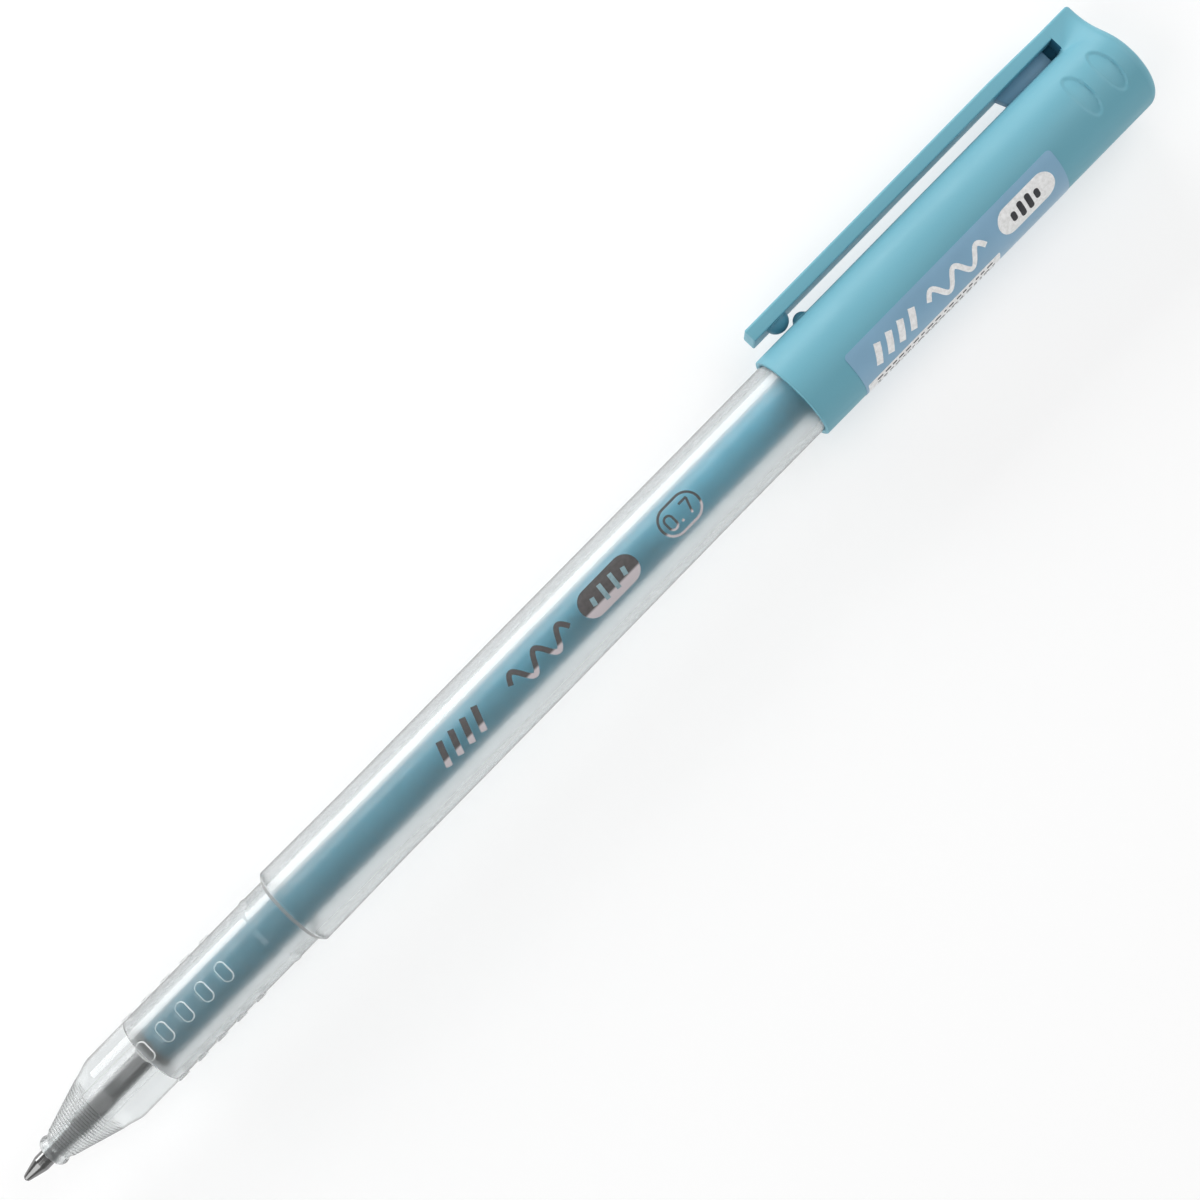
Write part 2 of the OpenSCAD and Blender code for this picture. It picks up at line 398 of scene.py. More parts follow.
def wrapped_bar(x0, x1, angle0, angle1, base, height, corner=0.0):
    """A bar laid on a cylinder of radius base, with rounded corners in its own plane."""
    arc = math.radians(angle1 - angle0) * base
    rows = max(4, int(abs(arc) / 0.12))
    columns = max(2, int((x1 - x0) / 2.0))
    middle, half = (angle0 + angle1) / 2, abs(arc) / 2
    corner = min(corner, half, (x1 - x0) / 2)
    grids = []
    for radius in (base + height, base - 0.01):
        grid = []
        for i in range(rows + 1):
            # rows crowd towards the ends, where the corners turn
            across = -half * math.cos(math.pi * i / rows)
            depth = max(0.0, corner - (half - abs(across)))
            inset = corner - math.sqrt(max(corner * corner - depth * depth, 0)) if corner else 0
            for j in range(columns + 1):
                x = x0 + inset + (x1 - x0 - 2 * inset) * j / columns
                grid.append(on_pen(x, across, radius, middle, base))
        grids.append(grid)
    wide = columns + 1
    size = (rows + 1) * wide
    points = grids[0] + grids[1]
    faces = []
    for i in range(rows):
        for j in range(columns):
            a = i * wide + j
            faces.append((a, a + 1, a + wide + 1, a + wide))
            faces.append((size + a, size + a + wide, size + a + wide + 1, size + a + 1))
    border = [j for j in range(wide)]
    border += [i * wide + columns for i in range(1, rows + 1)]
    border += [rows * wide + j for j in range(columns - 1, -1, -1)]
    border += [i * wide for i in range(rows - 1, 0, -1)]
    for a, b in zip(border, border[1:] + border[:1]):
        faces.append((a, b, size + b, size + a))
    return points, faces


def wrapped_stroke(path, width, centre_angle, base, height, loop=False):
    """A line of even width laid on a cylinder. path holds (x, arc) points in millimetres."""
    count = len(path)
    path = [Vector(p) for p in path]
    rows = []
    for i, here in enumerate(path):
        before = path[(i - 1) % count] if loop or i else here
        after = path[(i + 1) % count] if loop or i < count - 1 else here
        run = (after - before).normalized()
        side = Vector((-run.y, run.x)) * width / 2
        rows.append([
            on_pen(*(here + side), base - 0.01, centre_angle, base),
            on_pen(*(here + side), base + height, centre_angle, base),
            on_pen(*here, base + height, centre_angle, base),
            on_pen(*(here - side), base + height, centre_angle, base),
            on_pen(*(here - side), base - 0.01, centre_angle, base),
        ])
    points, faces = swept(rows, closed=loop)
    if not loop:
        faces += [tuple(range(5)), tuple(range(5 * count - 1, 5 * count - 6, -1))]
    return points, faces


def stadium(x, width, height, steps=10):
    """The (x, arc) path of an obround centred at x, longer whichever way is longer."""
    radius = min(width, height) / 2
    path = []
    for k in range(4 * steps):
        a = math.radians(90 * k / steps + 45 / steps)
        path.append((
            x + math.copysign(width / 2 - radius, math.cos(a)) + radius * math.cos(a),
            math.copysign(height / 2 - radius, math.sin(a)) + radius * math.sin(a),
        ))
    return path


def wave(x0, x1, rise, turns, steps=60):
    """The (x, arc) path of an ink squiggle."""
    return [
        (x0 + (x1 - x0) * k / steps, rise * math.sin(2 * math.pi * turns * k / steps))
        for k in range(steps + 1)
    ]


def slanted_bars(x0, x1, rise, count):
    """The paths of a row of slanted strokes."""
    pitch = (x1 - x0) / count
    lean = pitch * 0.3
    return [
        [(x0 + pitch * (i + 0.5) - lean + 2 * lean * k / 8, -rise + 2 * rise * k / 8) for k in range(9)]
        for i in range(count)
    ]


# ---------------------------------------------------------------- materials


def material(name):
    """A new node material, its node tree and its Principled shader."""
    made = bpy.data.materials.new(name)
    made.use_nodes = True
    tree = made.node_tree
    return made, tree, tree.nodes["Principled BSDF"]


def noise(tree, scale, detail=2.0, roughness=0.5, stretch=(1, 1, 1)):
    """Noise in the piece's own coordinates, scale in cells per metre."""
    place = tree.nodes.new("ShaderNodeTexCoord")
    mapping = tree.nodes.new("ShaderNodeMapping")
    mapping.inputs["Scale"].default_value = stretch
    texture = tree.nodes.new("ShaderNodeTexNoise")
    texture.inputs["Scale"].default_value = scale
    texture.inputs["Detail"].default_value = detail
    texture.inputs["Roughness"].default_value = roughness
    tree.links.new(place.outputs["Object"], mapping.inputs["Vector"])
    tree.links.new(mapping.outputs["Vector"], texture.inputs["Vector"])
    return texture.outputs["Fac"]


def between(tree, value, low, high, from_low=0.3, from_high=0.7):
    """value carried from one range to another."""
    node = tree.nodes.new("ShaderNodeMapRange")
    node.inputs["From Min"].default_value = from_low
    node.inputs["From Max"].default_value = from_high
    node.inputs["To Min"].default_value = low
    node.inputs["To Max"].default_value = high
    tree.links.new(value, node.inputs["Value"])
    return node.outputs["Result"]


def blended(tree, share, first, second):
    """A colour between two, by share."""
    node = tree.nodes.new("ShaderNodeMix")
    node.data_type = "RGBA"
    tree.links.new(share, node.inputs["Factor"])
    for socket, colour in ((node.inputs["A"], first), (node.inputs["B"], second)):
        if isinstance(colour, bpy.types.NodeSocket):
            tree.links.new(colour, socket)
        else:
            socket.default_value = (*colour, 1)
    return node.outputs["Result"]


def bump(tree, shader, height, distance, strength=1.0):
    node = tree.nodes.new("ShaderNodeBump")
    node.inputs["Strength"].default_value = strength
    node.inputs["Distance"].default_value = distance
    tree.links.new(height, node.inputs["Height"])
    tree.links.new(node.outputs["Normal"], shader.inputs["Normal"])


def along_pen(tree, axis="X"):
    """Where a point lies along the pen, or across it on Y, in the frame's metres."""
    where = tree.nodes.new("ShaderNodeTexCoord")
    place = tree.nodes.new("ShaderNodeSeparateXYZ")
    tree.links.new(where.outputs["Object"], place.inputs["Vector"])
    return place.outputs[axis]


def shaded(colour, factor):
    return tuple(min(1.0, c * factor) for c in colour)


def let_lamps_through(tree, shader, tint):
    """Light from the lamps passes the plastic, so that what is inside it is lit."""
    rays = tree.nodes.new("ShaderNodeLightPath")
    clear = tree.nodes.new("ShaderNodeBsdfTransparent")
    clear.inputs["Color"].default_value = (*tint, 1)
    mix = tree.nodes.new("ShaderNodeMixShader")
    tree.links.new(rays.outputs["Is Shadow Ray"], mix.inputs["Fac"])
    tree.links.new(shader.outputs["BSDF"], mix.inputs[1])
    tree.links.new(clear.outputs["BSDF"], mix.inputs[2])
    tree.links.new(mix.outputs["Shader"], tree.nodes["Material Output"].inputs["Surface"])


def satin_plastic(name, colour, roughness=0.46, grain=0.000012, gloss=0.35):
    """Opaque moulded plastic: a fine spark-eroded grain, faint flow marks and handling scuffs."""
    made, tree, shader = material(name)
    flow = noise(tree, 90, 3, stretch=(0.25, 1, 1))
    shader_colour = blended(tree, between(tree, flow, 0, 1), shaded(colour, 0.94), shaded(colour, 1.06))
    tree.links.new(shader_colour, shader.inputs["Base Color"])
    scuffs = noise(tree, 700, 4, 0.65, stretch=(0.15, 1, 1))
    tree.links.new(
        between(tree, scuffs, roughness - 0.07, roughness + 0.09), shader.inputs["Roughness"])
    bump(tree, shader, noise(tree, 5200, 2), grain, 0.35)
    shader.inputs["Specular IOR Level"].default_value = gloss
    shader.inputs["Subsurface Weight"].default_value = 0.06
    shader.inputs["Subsurface Radius"].default_value = (0.4, 0.8, 1.0)
    shader.inputs["Subsurface Scale"].default_value = 0.0006
    return made


def shaded_plastic(name, settings):
    """The cap's plastic with painted shade, darkened for the narrow gap under the clip, which little light
    reaches.
    """
    red, green, blue = settings.colour
    return satin_plastic(name, (red * 0.5, green * 0.62, blue * 0.68))


def frosted_plastic(name, settings, roughness):
    """Clear plastic with an even frost from the mould and slight drag marks along the pen."""
    made, tree, shader = material(name)
    cloud = noise(tree, 160, 3, stretch=(0.3, 1, 1))
    body = blended(tree, between(tree, cloud, 0, 1), shaded(settings.tint, 0.96), settings.tint)
    # light that grazes the wall crosses the most plastic, which greys the very edge a little; most of the
    # grey there is painted shade, a painted dark line along the silhouette
    edge = tree.nodes.new("ShaderNodeLayerWeight")
    grazing = between(tree, edge.outputs["Facing"], 0, 1, 0.64, 0.8)
    tree.links.new(
        blended(tree, grazing, body, shaded(settings.tint, settings.edge_shade)),
        shader.inputs["Base Color"])
    drag = noise(tree, 1800, 3, 0.6, stretch=(0.3, 1, 1))
    tree.links.new(
        between(tree, drag, roughness * 0.95, roughness * 1.05),
        shader.inputs["Roughness"])
    bump(tree, shader, noise(tree, 4200, 2), 0.0000005, 0.1)
    shader.inputs["IOR"].default_value = 1.49
    # the thick nose scatters more light than the thin wall behind it
    nose_end = PEN_START.x + SHOULDER_X * MM
    tree.links.new(
        between(tree, along_pen(tree), settings.nose_clearness, settings.clearness,
                nose_end - 3 * MM, nose_end + 1 * MM),
        shader.inputs["Transmission Weight"])
    let_lamps_through(tree, shader, shaded(settings.tint, 0.97))
    return made


def edge_plastic(name, settings, shade):
    """The barrel's plastic on steep little edges, with painted light: whiter on the pads as a painted
    highlight, and darker in the grooves as painted shade.
    """
    made, tree, shader = material(name)
    cloud = noise(tree, 2000, 2)
    light = shaded((0.93, 0.95, 0.95), shade)
    tree.links.new(
        blended(tree, between(tree, cloud, 0, 1), shaded(light, 0.9), light),
        shader.inputs["Base Color"])
    tree.links.new(between(tree, cloud, 0.3, 0.45), shader.inputs["Roughness"])
    shader.inputs["IOR"].default_value = 1.49
    shader.inputs["Transmission Weight"].default_value = 0.45
    let_lamps_through(tree, shader, shaded(settings.tint, 0.9))
    return made


def clear_tube_plastic(name):
    """Extruded clear tube with faint die lines."""
    made, tree, shader = material(name)
    lines = noise(tree, 1500, 2, stretch=(0.01, 1, 1))
    tree.links.new(between(tree, lines, 0.01, 0.06), shader.inputs["Roughness"])
    shader.inputs["Base Color"].default_value = (0.95, 0.98, 0.98, 1)
    shader.inputs["IOR"].default_value = 1.49
    shader.inputs["Transmission Weight"].default_value = 1.0
    let_lamps_through(tree, shader, (0.94, 0.97, 0.97))
    return made


def wet_ink(name, colour):
    """Gel ink against the tube's wall: painted darker towards the point as painted shade, where the light
    falls off, with slow density clouds.
    """
    made, tree, shader = material(name)
    painted_dark_tip, painted_light_tail = shaded(colour, 0.6), shaded(colour, 1.3)
    # painted shade: the ink is painted darker towards the point and lighter towards the cap
    run = between(tree, along_pen(tree), 0, 1, PEN_START.x + 20 * MM, PEN_START.x + 110 * MM)
    cloud = noise(tree, 260, 4, stretch=(0.4, 1, 1))
    light = blended(tree, run, shaded(painted_dark_tip, 0.93), shaded(painted_light_tail, 0.93))
    deep = blended(tree, run, shaded(painted_dark_tip, 1.07), shaded(painted_light_tail, 1.07))
    tree.links.new(
        blended(tree, between(tree, cloud, 0, 1), light, deep), shader.inputs["Base Color"])
    tree.links.new(
        between(tree, noise(tree, 1200, 2), 0.25, 0.4), shader.inputs["Roughness"])
    shader.inputs["Specular IOR Level"].default_value = 0.1
    return made


def clear_grease(name):
    """The pale follower grease behind the ink."""
    made, tree, shader = material(name)
    cloud = noise(tree, 500, 3)
    tree.links.new(
        blended(tree, between(tree, cloud, 0, 1), (0.8, 0.76, 0.6), (0.88, 0.85, 0.72)),
        shader.inputs["Base Color"])
    tree.links.new(between(tree, cloud, 0.12, 0.25), shader.inputs["Roughness"])
    shader.inputs["Subsurface Weight"].default_value = 0.4
    shader.inputs["Subsurface Radius"].default_value = (1.0, 0.9, 0.6)
    shader.inputs["Subsurface Scale"].default_value = 0.002
    return made


def turned_metal(name, colour, roughness=0.16):
    """Metal from a lathe: fine grooves round the axis, polished over."""
    made, tree, shader = material(name)
    grooves = noise(tree, 9000, 1, stretch=(1, 0.02, 0.02))
    smears = noise(tree, 900, 3)
    tree.links.new(
        blended(tree, between(tree, smears, 0, 1), shaded(colour, 0.9), colour),
        shader.inputs["Base Color"])
    tree.links.new(
        between(tree, smears, roughness * 0.8, roughness * 1.5), shader.inputs["Roughness"])
    shader.inputs["Metallic"].default_value = 1.0
    bump(tree, shader, grooves, 0.000003, 0.15)
    return made


def dark_plastic(name, colour):
    """The tip holder's dark plastic, with knit lines from the mould."""
    made, tree, shader = material(name)
    knit = noise(tree, 600, 3, stretch=(0.2, 1, 1))
    tree.links.new(
        blended(tree, between(tree, knit, 0, 1), shaded(colour, 0.8), shaded(colour, 1.3)),
        shader.inputs["Base Color"])
    tree.links.new(between(tree, knit, 0.3, 0.45), shader.inputs["Roughness"])
    bump(tree, shader, noise(tree, 4000, 2), 0.000008, 0.3)
    return made


def milky_plastic(name):
    """Natural, unpigmented moulding of the end plug."""
    made, tree, shader = material(name)
    cloud = noise(tree, 300, 3)
    tree.links.new(
        blended(tree, between(tree, cloud, 0, 1), (0.72, 0.75, 0.75), (0.82, 0.85, 0.85)),
        shader.inputs["Base Color"])
    tree.links.new(between(tree, cloud, 0.32, 0.45), shader.inputs["Roughness"])
    shader.inputs["Subsurface Weight"].default_value = 0.5
    shader.inputs["Subsurface Radius"].default_value = (1.0, 1.0, 1.0)
    shader.inputs["Subsurface Scale"].default_value = 0.001
    bump(tree, shader, noise(tree, 4000, 2), 0.000008, 0.3)
    return made


def film(name, colour):
    """Printed label film: smooth and a little glossier than the cap under it."""
    made, tree, shader = material(name)
    cloud = noise(tree, 220, 3)
    tree.links.new(
        blended(tree, between(tree, cloud, 0, 1), shaded(colour, 0.96), shaded(colour, 1.05)),
        shader.inputs["Base Color"])
    tree.links.new(between(tree, noise(tree, 900, 3), 0.3, 0.4), shader.inputs["Roughness"])
    bump(tree, shader, noise(tree, 1400, 2), 0.000005, 0.3)
    return made


def printed_ink(name, colour, roughness=0.5, painted_reflection=None):
    """A layer of printing ink, slightly uneven in cover, with its lower part painted pale as a painted
    reflection if a reflection colour is given.
    """
    made, tree, shader = material(name)
    cover = noise(tree, 2500, 3)
    paint = blended(tree, between(tree, cover, 0, 1), colour, shaded(colour, 1.35))
    if painted_reflection:
        # painted reflection: below a line across the pen the ink turns pale
        line = PEN_START.y + PAINTED_REFLECTION_Y * MM
        upper = between(tree, along_pen(tree, "Y"), 0, 1, line - 0.12 * MM, line + 0.12 * MM)
        paint = blended(tree, upper, painted_reflection, paint)
    tree.links.new(paint, shader.inputs["Base Color"])
    tree.links.new(
        between(tree, cover, roughness - 0.05, roughness + 0.08), shader.inputs["Roughness"])
    return made


def floor_paint(name, colour, glow):
    """A plain pale light table, very slightly uneven."""
    made, tree, shader = material(name)
    cloud = noise(tree, 12, 3)
    tree.links.new(
        blended(tree, between(tree, cloud, 0, 1), shaded(colour, 0.99), colour),
        shader.inputs["Base Color"])
    tree.links.new(between(tree, cloud, 0.75, 0.85), shader.inputs["Roughness"])
    shader.inputs["Specular IOR Level"].default_value = 0.1
    shader.inputs["Emission Color"].default_value = (1, 1, 1, 1)
    shader.inputs["Emission Strength"].default_value = glow
    return made


# ---------------------------------------------------------------- barrel

GRIP_R = 4.4
STEP_X = 41.0
BEAD_X = 37.9
BEAD_HALF = 0.5
BEAD_HEIGHT = 0.11
MID_R = 4.98
TAIL_R = 4.87
NOZZLE_FRONT_X = NOZZLE_X + 0.15
LIP_R = 1.15
LIP_ROUND = 0.75
RINGS_X = (5.64, 12.5)
RING_FADE = 1.2
GROOVE_HALF = 0.12
SHOULDER_X = 19.5
PAD_X = 20.2
PAD_PITCH = 2.98
PAD_SIZE = (1.3, 2.4)
PAD_EDGE = 0.07
BARREL_BORE_R = 3.9
GRIP_BORE_R = 3.6
STEM_BORE_R = 1.3
POINT_BORE_R = 1.05

# The printing's middle, and the line across the pen below which the printing is painted pale, a painted
# reflection.
PRINT_ANGLE = -6.7
PAINTED_REFLECTION_Y = -1.15

# The barrel's finishes, with the painted highlight for the pads' edges and the painted shade for the grooves
# and the step, in the order of its materials.
GLOSSY, FROSTED, PAINTED_HIGHLIGHT_EDGE, PAINTED_SHADE_LINE = range(4)


def barrel_outside():
    """The barrel's outer outline, from the nozzle's lip to the tail, with x always rising."""
    lip = [
        (NOZZLE_FRONT_X + LIP_ROUND * (1 - math.cos(a)), LIP_R + LIP_ROUND * math.sin(a))
        for a in map(math.radians, range(0, 136, 9))
    ]
    body = rounded([
        (5.0, 1.7),
        (13.9, GRIP_R, 3.0),
        (STEP_X, GRIP_R, 0.12),
        (STEP_X + 0.6, STEP_R, 0.35),
        (54, MID_R, 20),
        (78, MID_R, 20),
        (106, TAIL_R, 20),
        (TAIL_X - 0.3, TAIL_R, 0.3),
        (TAIL_X, TAIL_R - 0.3),
    ], steps=6)
    return lip + body


def barrel_radius(settings, x, angles):
    """The barrel's outer radius at one place, all the way round: outline, fine rings, stop bead and pads."""
    outline = barrel_outside()
    radius = np.full(len(angles), np.interp(x, [p[0] for p in outline], [p[1] for p in outline]))
    if RINGS_X[0] < x < RINGS_X[1]:
        turn = (x - RINGS_X[0]) / (RINGS_X[1] - RINGS_X[0]) * settings.ring_count
        fade = smoothstep(RINGS_X[1], RINGS_X[1] - RING_FADE, x)
        radius += settings.ring_height * fade * abs(math.sin(math.pi * turn)) ** 0.8
    bead = (x - BEAD_X) / BEAD_HALF
    if abs(bead) < 1:
        radius += BEAD_HEIGHT * math.cos(math.pi / 2 * bead)
    for i in range(settings.pad_count):
        along = abs(x - PAD_X - i * PAD_PITCH)
        if along < PAD_SIZE[0]:
            across = np.abs((angles + 45) % 90 - 45) * math.pi / 180 * GRIP_R
            beyond = np.maximum(across - (PAD_SIZE[1] - PAD_SIZE[0]) / 2, 0)
            inside = PAD_SIZE[0] / 2 - np.hypot(along, beyond)
            radius += settings.pad_height * smoothstep(-PAD_EDGE, PAD_EDGE, inside)
    return radius


def barrel_stations(settings):
    """Where the barrel's rings of points lie: at every corner, close together on the fine rings and pads."""
    places = [p[0] for p in barrel_outside()]
    places += list(np.linspace(*RINGS_X, settings.ring_count * 10 + 1))
    places += list(BEAD_X + np.linspace(-BEAD_HALF, BEAD_HALF, 9))
    for i in range(settings.pad_count):
        middle = PAD_X + i * PAD_PITCH
        places += list(middle + np.linspace(-0.75, 0.75, 26))
    places += list(np.linspace(33.5, 36.5, 3)) + list(np.arange(44, TAIL_X - 1, 4))
    places = np.unique(np.round(places, 4))
    return places[np.concatenate([[True], np.diff(places) > 0.015])]


class PEN_OT_barrel(bpy.types.Operator):
    """Build the frosted barrel with its cone rings, grip pads, stop bead and step"""

    bl_idname = "gel_pen.barrel"
    bl_label = "Barrel"

    def execute(self, context):
        settings = context.scene.pen_barrel
        angles = dense_angles(3.0, 0.75, [(row * 90, 20) for row in range(4)])
        outer = [
            ring(x, barrel_radius(settings, x, angles), angles) for x in barrel_stations(settings)
        ]
        bore = rounded([
            (TAIL_X, TAIL_R - 0.3),
            (TAIL_X, BARREL_BORE_R, 0.15),
            (STEP_X + 5.5, BARREL_BORE_R, 6),
            (STEP_X - 1.5, GRIP_BORE_R, 6),
            (SHOULDER_X, GRIP_BORE_R, 0.2),
            (SHOULDER_X, STEM_BORE_R, 0.1),
            (STEM_X - 0.15, STEM_BORE_R),
            (STEM_X - 0.15, POINT_BORE_R),
            (NOZZLE_FRONT_X, POINT_BORE_R, 0.05),
            (NOZZLE_FRONT_X, LIP_R),
        ], steps=3)[1:-1]
        inner = [ring(x, r, angles) for x, r in bore]
        moulding = piece("barrel_moulding", swept(outer + inner, closed=True),
                         frosted_plastic("glossy_barrel_plastic", settings, settings.gloss),
                         "barrel", ["barrel"], crease=50)
        moulding.data.materials.append(
            frosted_plastic("frosted_bore_plastic", settings, settings.frost))
        # painted highlight for the pads' edges, and painted shade for the grooves and the step
        for name, shade in (("painted_highlight_edge_plastic", 1.0), ("painted_shade_groove_plastic", 0.36)):
            moulding.data.materials.append(edge_plastic(name, settings, shade))
        for face in moulding.data.polygons:
            face.material_index = self.finish_of(face, settings.ring_count)
        return {"FINISHED"}

    def finish_of(self, face, ring_count):
        """A face's finish, painted highlight or painted shade, from where it lies and how far it looks away
        from the axis.
        """
        x = (face.center.x - PEN_START.x) / MM
        out = (face.center - Vector((face.center.x, PEN_START.y, PEN_START.z))).normalized()
        rise = out.dot(face.normal)
        if rise < -0.01 or (rise < 0.2 and STEM_X < x < PAD_X):
            return FROSTED
        if RINGS_X[0] < x < RINGS_X[1]:
            turn = (x - RINGS_X[0]) / (RINGS_X[1] - RINGS_X[0]) * ring_count
            # painted shade in each groove between the cone's rings
            in_groove = abs(turn - round(turn)) < GROOVE_HALF and turn < ring_count - 1.5
            return PAINTED_SHADE_LINE if in_groove else GLOSSY
        # painted shade on the step's wall
        if STEP_X - 0.1 < x < STEP_X + 0.7 and rise < 0.68:
            return PAINTED_SHADE_LINE
        # painted highlight on the pads' sloping sides
        on_pads = PAD_X - 1 < x < PAD_X + 4 * PAD_PITCH + 1
        return PAINTED_HIGHLIGHT_EDGE if on_pads and rise < 0.93 else GLOSSY


class PEN_OT_printing(bpy.types.Operator):
    """Lay the printed marks on the barrel: strokes, a squiggle, a pill and the line width in an oval"""

    bl_idname = "gel_pen.printing"
    bl_label = "Barrel printing"

    def execute(self, context):
        settings = context.scene.pen_print
        half = settings.height / 2
        angle, base = PRINT_ANGLE, MID_R
        ink = printed_ink("barrel_print_ink", settings.colour, painted_reflection=tuple(settings.painted_reflection))

        def laid(path, width, loop=False):
            return wrapped_stroke(path, width, angle, base, INK_T, loop)

        strokes = [laid(path, 0.75) for path in slanted_bars(64.2, 71.2, half * 0.8, 4)]
        strokes.append(laid(wave(75.2, 84.1, half * 0.62, 2.5), 0.6))
        pill_half = math.degrees(half / base)
        strokes.append(wrapped_bar(85.9, 94.1, angle - pill_half, angle + pill_half, base, INK_T, half))
        base = TAIL_R + 0.04
        strokes.append(laid(stadium(100.75, 5.3, settings.height), 0.28, loop=True))
        strokes.append(laid(stadium(99.4, 1.05, 1.7, steps=4), 0.26, loop=True))
        strokes.append(laid([(100.4, -0.72), (100.7, -0.72)], 0.3))
        strokes.append(laid([(101.35, 0.84), (101.9, 0.84), (102.5, 0.84)], 0.26))
        strokes.append(laid([(102.45, 0.8), (102.17, 0.1), (101.85, -0.85)], 0.26))
        piece("barrel_printing", joined(*strokes), ink, "barrel")
        base = MID_R + INK_T
        marks = [
            laid([(x + 0.12 * k / 5, rise * k / 5) for k in range(-5, 6)], 0.55)
            for x, rise in ((87.7, 0.45), (89.2, 0.95), (90.8, 0.95), (92.3, 0.45))
        ]
        piece("barrel_printing_knockout", joined(*marks),
              printed_ink("barrel_pale_ink", settings.pale), "barrel")
        return {"FINISHED"}


# ---------------------------------------------------------------- refill, plug and point


class PEN_OT_refill(bpy.types.Operator):
    """Build the refill tube, its ink, the follower and the tip holder"""

    bl_idname = "gel_pen.refill"
    bl_label = "Refill"

    def execute(self, context):
        settings = context.scene.pen_refill
        bore = INK_R + 0.01
        tube = rounded([
            (TUBE_X0, bore),
            (TUBE_X0, TUBE_R),
            (TUBE_X1, TUBE_R, 0.08),
            (TUBE_X1, bore, 0.08),
            (TUBE_X0, bore),
        ])[:-1]
        piece("refill_tube_clear", turned(tube), clear_tube_plastic("clear_tube_plastic"),
              "refill", ["refill_tube"])
        # the ink wets the tube, so its face lies just inside the tube's wall and not short of it
        wetted = bore + 0.012
        ink = turned_solid([
            (INK_X0, 0),
            (INK_X0, wetted - 0.05),
            (INK_X0 + 0.05, wetted),
            *[(x, wetted) for x in np.linspace(INK_X0 + 4, INK_X1 - 0.4, 24)],
            (INK_X1 - 0.05, wetted),
            (INK_X1, wetted - 0.05),
            (INK_X1, 0),
        ])
        column = piece("ink_fill", ink, wet_ink("gel_ink", settings.ink), "refill",
                       ["ink_column"])
        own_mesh(column)
        sleeve = rounded([
            (TUBE_X0 + 0.02, bore - 0.03),
            (TUBE_X0 + 0.02, wetted),
            (INK_X0, wetted),
            (INK_X0, bore - 0.03),
            (TUBE_X0 + 0.02, bore - 0.03),
        ])[:-1]
        piece("ink_round_holder", turned(sleeve), column.data.materials[0], "refill")
        meniscus = 0.5
        grease = turned_solid([
            (GREASE_X0, 0),
            (GREASE_X0, GREASE_R),
            (GREASE_X1, GREASE_R),
            *[(GREASE_X1 - meniscus * (1 - t * t), GREASE_R * t) for t in np.linspace(0.95, 0.1, 9)],
            (GREASE_X1 - meniscus, 0),
        ])
        piece("follower_grease", grease, clear_grease("follower_grease"), "follower",
              ["ink_follower"])
        holder = rounded([
            (STEM_X, 0.8),
            (STEM_X, 1.2, 0.1),
            (SHOULDER_X + 0.02, 1.2, 0.1),
            (SHOULDER_X + 0.02, FLANGE_R, 0.12),
            (TUBE_X0, FLANGE_R, 0.04),
            (TUBE_X0, bore - 0.02),
            (HOLDER_END_X, bore - 0.02, 0.4),
            (HOLDER_END_X, 0.5, 0.1),
            (SHANK_END_X, 0.5),
            (SHANK_END_X, 0.8),
            (STEM_X, 0.8),
        ])[:-1]
        piece("tip_holder_moulding", turned(holder, 96),
              dark_plastic("dark_holder_plastic", settings.holder), "refill",
              ["tip_holder"])
        return {"FINISHED"}


class PEN_OT_point(bpy.types.Operator):
    """Build the metal writing point and finish its ball"""

    bl_idname = "gel_pen.point"
    bl_label = "Writing point"

    def execute(self, context):
        settings = context.scene.pen_refill
        ball_r, socket_r = 0.35, 0.365
        seat = [
            (ball_r + socket_r * math.cos(a), socket_r * math.sin(a))
            for a in map(math.radians, range(36, 112, 6))
        ]
        outside = rounded([
            (POINT_X, 0.335),
            (POINT_X, 0.39, 0.02),
            (0.5, 0.48, 0.3),
            (2.2, 0.93, 1.2),
            (2.5, POINT_R, 0.3),
            (STEM_X, POINT_R, 0.05),
            (STEM_X, 0.8),
            (SHANK_END_X, 0.8),
            (SHANK_END_X, 0.5),
            (2.0, 0.5),
            (1.6, 0.2),
            seat[0],
        ])
        metal = turned_metal("turned_point_metal", settings.metal)
        piece("writing_point", turned(outside[1:-1] + seat), metal, "refill",
              ["tip_point"], crease=30)
        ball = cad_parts["tip_ball"]
        ball.data.materials.clear()
        ball.data.materials.append(turned_metal("hard_ball_metal", shaded(settings.metal, 0.6), 0.08))
        return {"FINISHED"}


class PEN_OT_plug(bpy.types.Operator):
    """Build the vented plug in the barrel's tail"""

    bl_idname = "gel_pen.plug"
    bl_label = "End plug"

    def execute(self, context):
        head_x = TAIL_X + 0.01
        socket_r = TUBE_R + 0.05
        shank_r = PLUG_R - 0.42
        plug = rounded([
            (PLUG_X0, socket_r),
            (PLUG_X0, shank_r, 0.3),
            (head_x, shank_r, 0.1),
            (head_x, PLUG_R, 0.08),
            (PLUG_X1, PLUG_R, 0.3),
            (PLUG_X1, 0.5, 0.1),
            (TUBE_X1 + 1, 0.5),
            (TUBE_X1 + 1, socket_r, 0.2),
            (PLUG_X0, socket_r, 0.05),
            (PLUG_X0, shank_r),
        ])[:-1]
        piece("tail_plug", turned(plug), milky_plastic("milky_plug_plastic"), "end_plug",
              ["end_plug"])
        return {"FINISHED"}


# ---------------------------------------------------------------- cap and clip

CAP_BORE_R = TAIL_R + 0.05
CAP_INNER_R = 4.6
END_WALL = 1.3
SEAL_LENGTH = 13.6
SEAL_BORE_R = 1.92
SEAL_OUTER_R = 2.6
ROOT_X = END_X - 3.95
WEB_END_X = END_X - 5.1
NUB = (MOUTH_X + 6.9, CAP_R - 0.38, 1.03)
BUMP = (MOUTH_X + 4.9, CLIP_UNDER_Y + 0.2, 1.46)
RECESS_X = (END_X - 7.35, END_X - 3.55)
RECESS_SIZE = (2.2, 6.2)


